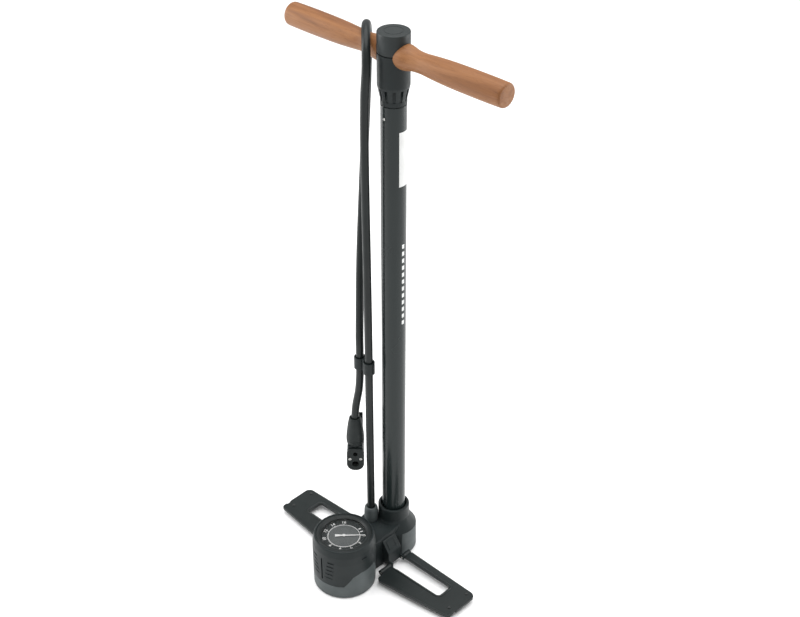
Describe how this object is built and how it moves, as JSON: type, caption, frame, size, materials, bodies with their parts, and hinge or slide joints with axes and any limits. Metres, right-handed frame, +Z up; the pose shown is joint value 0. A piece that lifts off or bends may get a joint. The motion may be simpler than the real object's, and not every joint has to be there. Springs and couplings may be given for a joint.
{
  "type": "floor bike pump",
  "caption": "Upright floor pump with a slim painted barrel, wooden T-handle, round pressure gauge on the base, fold-out slotted feet, and a looped hose ending in a lever chuck.",
  "frame": {"origin": "on the ground under the barrel's axis, at the centre of the rear sole's underside", "axes": "+Z up along the barrel, the gauge towards -Y, the handle and the feet along X"},
  "size_m": [0.304, 0.1584, 0.7],
  "materials": {
    "shroud_black": "fine moulded texture",
    "housing_grey": "fine moulded texture",
    "sole_rubber": "matt",
    "sleeve_rubber": "soft satin",
    "hose_rubber": "satin extruded",
    "steel": "plain zinc",
    "brass": "turned",
    "barrel_paint": "gloss powder coat",
    "foot_paint": "satin powder coat",
    "inner_plastic": "natural",
    "felt": "oiled felt",
    "hub_black": "satin",
    "wood": "oiled hardwood",
    "dial_black": "matt",
    "lens": "clear",
    "needle_white": "white"
  },
  "bodies": {
    "base": {"base_housing": "housing_grey", "base_shroud": "shroud_black", "rear_sole": "sole_rubber", "front_sole": "sole_rubber", "base_screw_front_right": "steel", "base_screw_front_left": "steel", "base_screw_rear_right": "steel", "base_screw_rear_left": "steel", "hose_boss": "housing_grey", "hose_insert": "brass", "barrel": "barrel_paint", "barrel_plug": "inner_plastic", "plug_seal": "sole_rubber", "check_valve_spring": "steel", "rod_guide": "inner_plastic", "rod_wiper": "felt", "guide_pin": "steel", "gauge_case": "steel", "gauge_dial": "dial_black", "gauge_lens": "lens", "gauge_bezel": "shroud_black", "gauge_socket": "brass", "bourdon_tube": "brass", "movement_plate": "brass", "left_foot_pin_front": "steel", "left_foot_pin_rear": "steel", "right_foot_pin_front": "steel", "right_foot_pin_rear": "steel"},
    "plunger": {"plunger_rod": "steel", "piston": "inner_plastic", "piston_cup": "sole_rubber", "piston_washer": "steel", "piston_nut": "steel", "handle_hub": "hub_black", "handle_cap": "hub_black", "handle_bar": "steel", "handle_screw": "steel", "left_grip": "wood", "right_grip": "wood", "hose": "hose_rubber", "hose_clip": "shroud_black", "chuck_head": "shroud_black", "chuck_face": "dial_black", "presta_seal": "sole_rubber", "schrader_seal": "sole_rubber", "chuck_screw_left": "steel", "chuck_screw_right": "steel", "chuck_sleeve": "sleeve_rubber", "lever_pin": "steel"},
    "needle": {"gauge_needle": "needle_white", "needle_arbor": "brass"},
    "sector": {"gauge_sector": "brass"},
    "valve": {"check_valve": "sole_rubber"},
    "left_foot": {"left_foot": "foot_paint", "left_foot_pad_front": "sole_rubber", "left_foot_pad_rear": "sole_rubber"},
    "right_foot": {"right_foot": "foot_paint", "right_foot_pad_front": "sole_rubber", "right_foot_pad_rear": "sole_rubber"},
    "lever": {"chuck_lever": "shroud_black"}
  },
  "joints": [
    {"name": "handle_slide", "type": "slide", "parent": "base", "child": "plunger", "axis": [0, 0, 1], "range_m": [0, 0.5]},
    {"name": "gauge_needle_turn", "type": "hinge", "parent": "base", "child": "needle", "pos_m": [0, -0.0888, 0.0695], "axis": [0, 0, -1], "range_deg": [0, 270], "stiffness_Nm_per_rad": 0.00002},
    {"name": "gauge_sector_turn", "type": "hinge", "parent": "base", "child": "sector", "pos_m": [-0.0105, -0.0888, 0.0626], "axis": [0, 0, 1], "range_deg": [0, 36.01]},
    {"name": "right_foot_fold", "type": "hinge", "parent": "base", "child": "right_foot", "pos_m": [0.034, -0.03, 0.009], "axis": [0, -1, 0], "range_deg": [0, 75]},
    {"name": "left_foot_fold", "type": "hinge", "parent": "base", "child": "left_foot", "pos_m": [-0.034, -0.03, 0.009], "axis": [0, 1, 0], "range_deg": [0, 75]},
    {"name": "chuck_lever_turn", "type": "hinge", "parent": "plunger", "child": "lever", "pos_m": [-0.04159, -0.01759, 0.148], "axis": [-0.7269, -0.6867, 0], "range_deg": [0, 90]},
    {"name": "check_valve_lift", "type": "slide", "parent": "base", "child": "valve", "axis": [0, 0, -1], "range_m": [0, 0.001], "stiffness_N_per_m": 150, "deforming": ["check_valve_spring"]}
  ],
  "couplings": [
    {"joint": "gauge_sector_turn", "follows": "gauge_needle_turn", "ratio": 0.13333}
  ]
}
